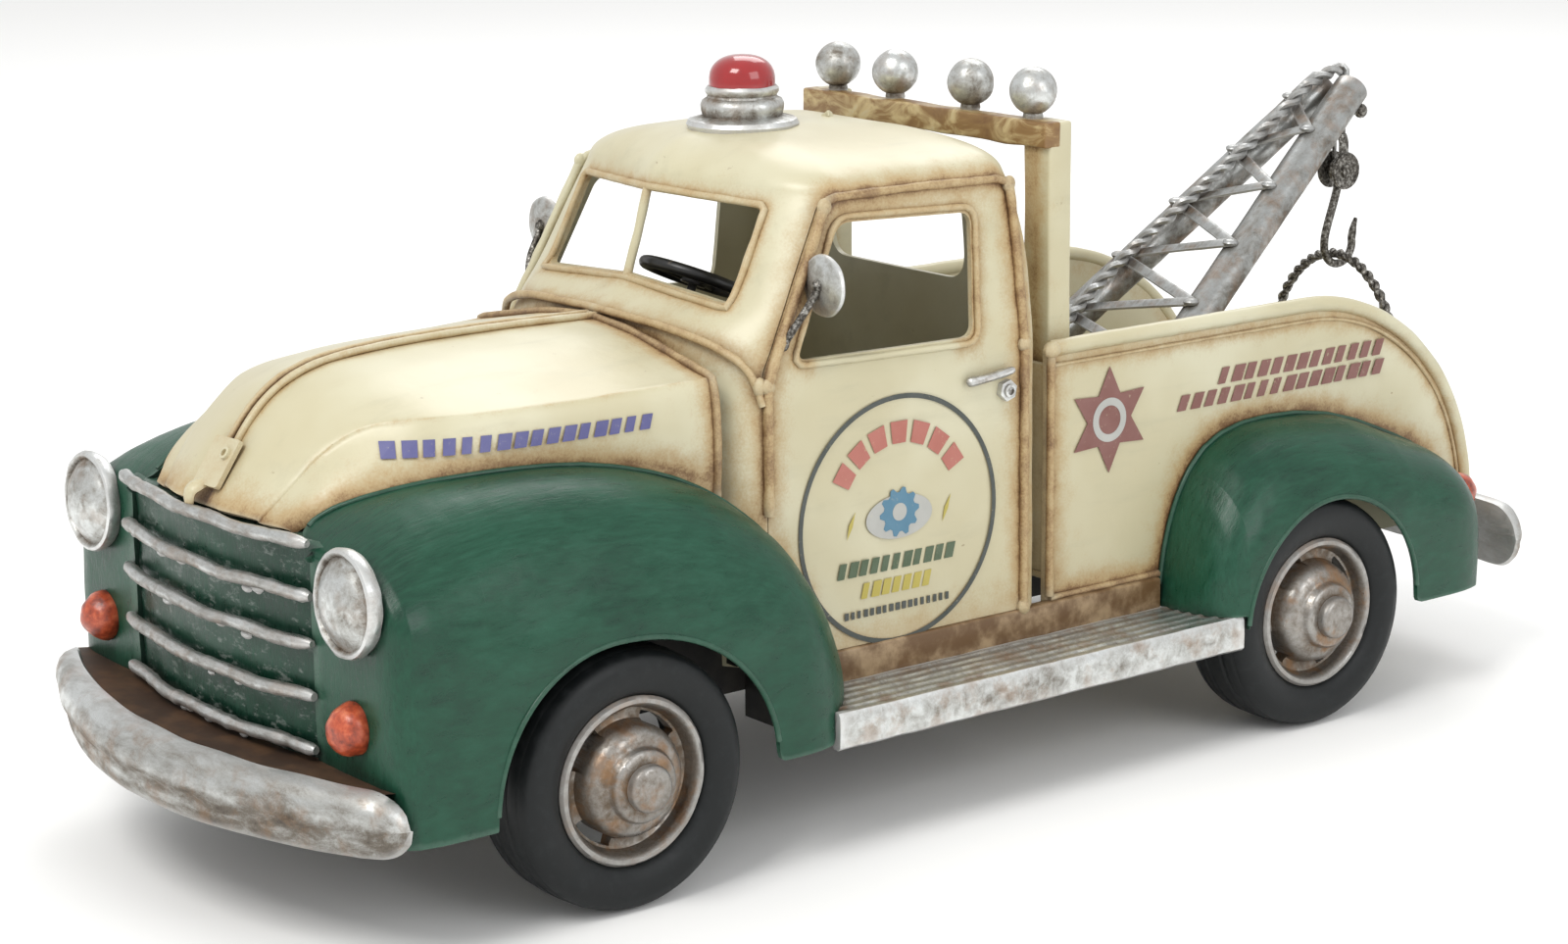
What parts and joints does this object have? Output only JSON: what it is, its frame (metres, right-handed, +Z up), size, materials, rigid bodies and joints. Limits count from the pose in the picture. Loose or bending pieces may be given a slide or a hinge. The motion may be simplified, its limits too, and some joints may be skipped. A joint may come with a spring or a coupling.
{
  "type": "toy tow truck",
  "caption": "Sheet metal toy pickup tow truck with an A-frame boom, hook and sling, light bar and beacon, on free rolling wheels.",
  "frame": {"origin": "middle of the overall box at the level of the floor that the tyres stand on", "axes": "+Z up, -Y towards the front of the truck, +X towards its left side"},
  "size_m": [0.1486, 0.368, 0.165],
  "materials": {
    "cream_paint": "satin, rust-brown shading along seams",
    "bar_paint": "satin, brown brushed over cream",
    "green_paint": "satin, brushed by hand",
    "grille_paint": "satin, darkened",
    "silver_leaf": "mottled silver leaf",
    "rust_silver": "silver leaf under brown shading",
    "aged_rim": "aged silver with brown shading",
    "tube_silver": "worn silver",
    "dark_wire": "dark aged wire",
    "tyre_rubber": "matt",
    "dark_frame": "matt dark grey",
    "orange_lamp": "semi gloss",
    "red_lamp": "gloss",
    "black_plastic": "satin"
  },
  "bodies": {
    "truck": {"chassis_frame": "dark_frame", "axle_tubes": "dark_frame", "axles": "dark_frame", "axle_caps": "aged_rim", "cab_floor": "dark_frame", "cab_shell": "cream_paint", "cowl_panel": "cream_paint", "windscreen_frame": "cream_paint", "door_left": "cream_paint", "door_right": "cream_paint", "door_trim": "cream_paint", "door_handles": "silver_leaf", "mirrors": "silver_leaf", "hood": "cream_paint", "hood_strip": "cream_paint", "hood_latch": "cream_paint", "cowl_trim": "cream_paint", "grille_panel": "grille_paint", "grille_bars": "silver_leaf", "headlights": "silver_leaf", "parking_lamps": "orange_lamp", "front_fender_left": "green_paint", "front_fender_right": "green_paint", "front_bumper": "silver_leaf", "running_board_left": "silver_leaf", "running_board_right": "silver_leaf", "sills": "rust_silver", "bed_floor": "cream_paint", "bed_side_left": "cream_paint", "bed_side_right": "cream_paint", "headboard": "cream_paint", "tailgate": "cream_paint", "rear_fender_left": "green_paint", "rear_fender_right": "green_paint", "tail_lamps": "orange_lamp", "rear_bumper": "silver_leaf", "light_bar_posts": "cream_paint", "light_bar_beam": "bar_paint", "roof_lamps": "silver_leaf", "beacon_base": "silver_leaf", "beacon_lens": "red_lamp", "steering_column": "dark_frame", "boom_tube_left": "tube_silver", "boom_tube_right": "tube_silver", "boom_braces": "dark_wire", "boom_cable": "dark_wire", "boom_pin": "dark_wire"},
    "wheel_front_left": {"tyre_front_left": "tyre_rubber", "rim_front_left": "aged_rim"},
    "wheel_front_right": {"tyre_front_right": "tyre_rubber", "rim_front_right": "aged_rim"},
    "wheel_rear_left": {"tyre_rear_left": "tyre_rubber", "rim_rear_left": "aged_rim"},
    "wheel_rear_right": {"tyre_rear_right": "tyre_rubber", "rim_rear_right": "aged_rim"},
    "steering_wheel": {"steering_wheel": "black_plastic"},
    "hook_hanger": {"pulley_hanger": "dark_wire", "pulley_discs": "dark_wire"},
    "tow_hook": {"tow_hook": "dark_wire"},
    "tow_sling": {"tow_sling": "dark_wire"}
  },
  "joints": [
    {"name": "wheel_front_left_spin", "type": "hinge", "parent": "truck", "child": "wheel_front_left", "pos_m": [0.0588, -0.102, 0.028], "axis": [1, 0, 0], "continuous": true},
    {"name": "wheel_front_right_spin", "type": "hinge", "parent": "truck", "child": "wheel_front_right", "pos_m": [-0.0588, -0.102, 0.028], "axis": [1, 0, 0], "continuous": true},
    {"name": "wheel_rear_left_spin", "type": "hinge", "parent": "truck", "child": "wheel_rear_left", "pos_m": [0.0588, 0.098, 0.028], "axis": [1, 0, 0], "continuous": true},
    {"name": "wheel_rear_right_spin", "type": "hinge", "parent": "truck", "child": "wheel_rear_right", "pos_m": [-0.0588, 0.098, 0.028], "axis": [1, 0, 0], "continuous": true},
    {"name": "steering_turn", "type": "hinge", "parent": "truck", "child": "steering_wheel", "pos_m": [0.0035, -0.0385, 0.1165], "axis": [0, 0.4067, 0.9135], "range_deg": [-180, 180]},
    {"name": "hanger_swing", "type": "hinge", "parent": "truck", "child": "hook_hanger", "pos_m": [0, 0.1719, 0.1358], "axis": [1, 0, 0], "range_deg": [-3, 45]},
    {"name": "hook_swing", "type": "hinge", "parent": "hook_hanger", "child": "tow_hook", "pos_m": [0, 0.1719, 0.12], "axis": [1, 0, 0], "range_deg": [-3, 40]},
    {"name": "sling_swing", "type": "hinge", "parent": "tow_hook", "child": "tow_sling", "pos_m": [0, 0.1719, 0.098], "axis": [1, 0, 0], "range_deg": [-3, 40]}
  ]
}
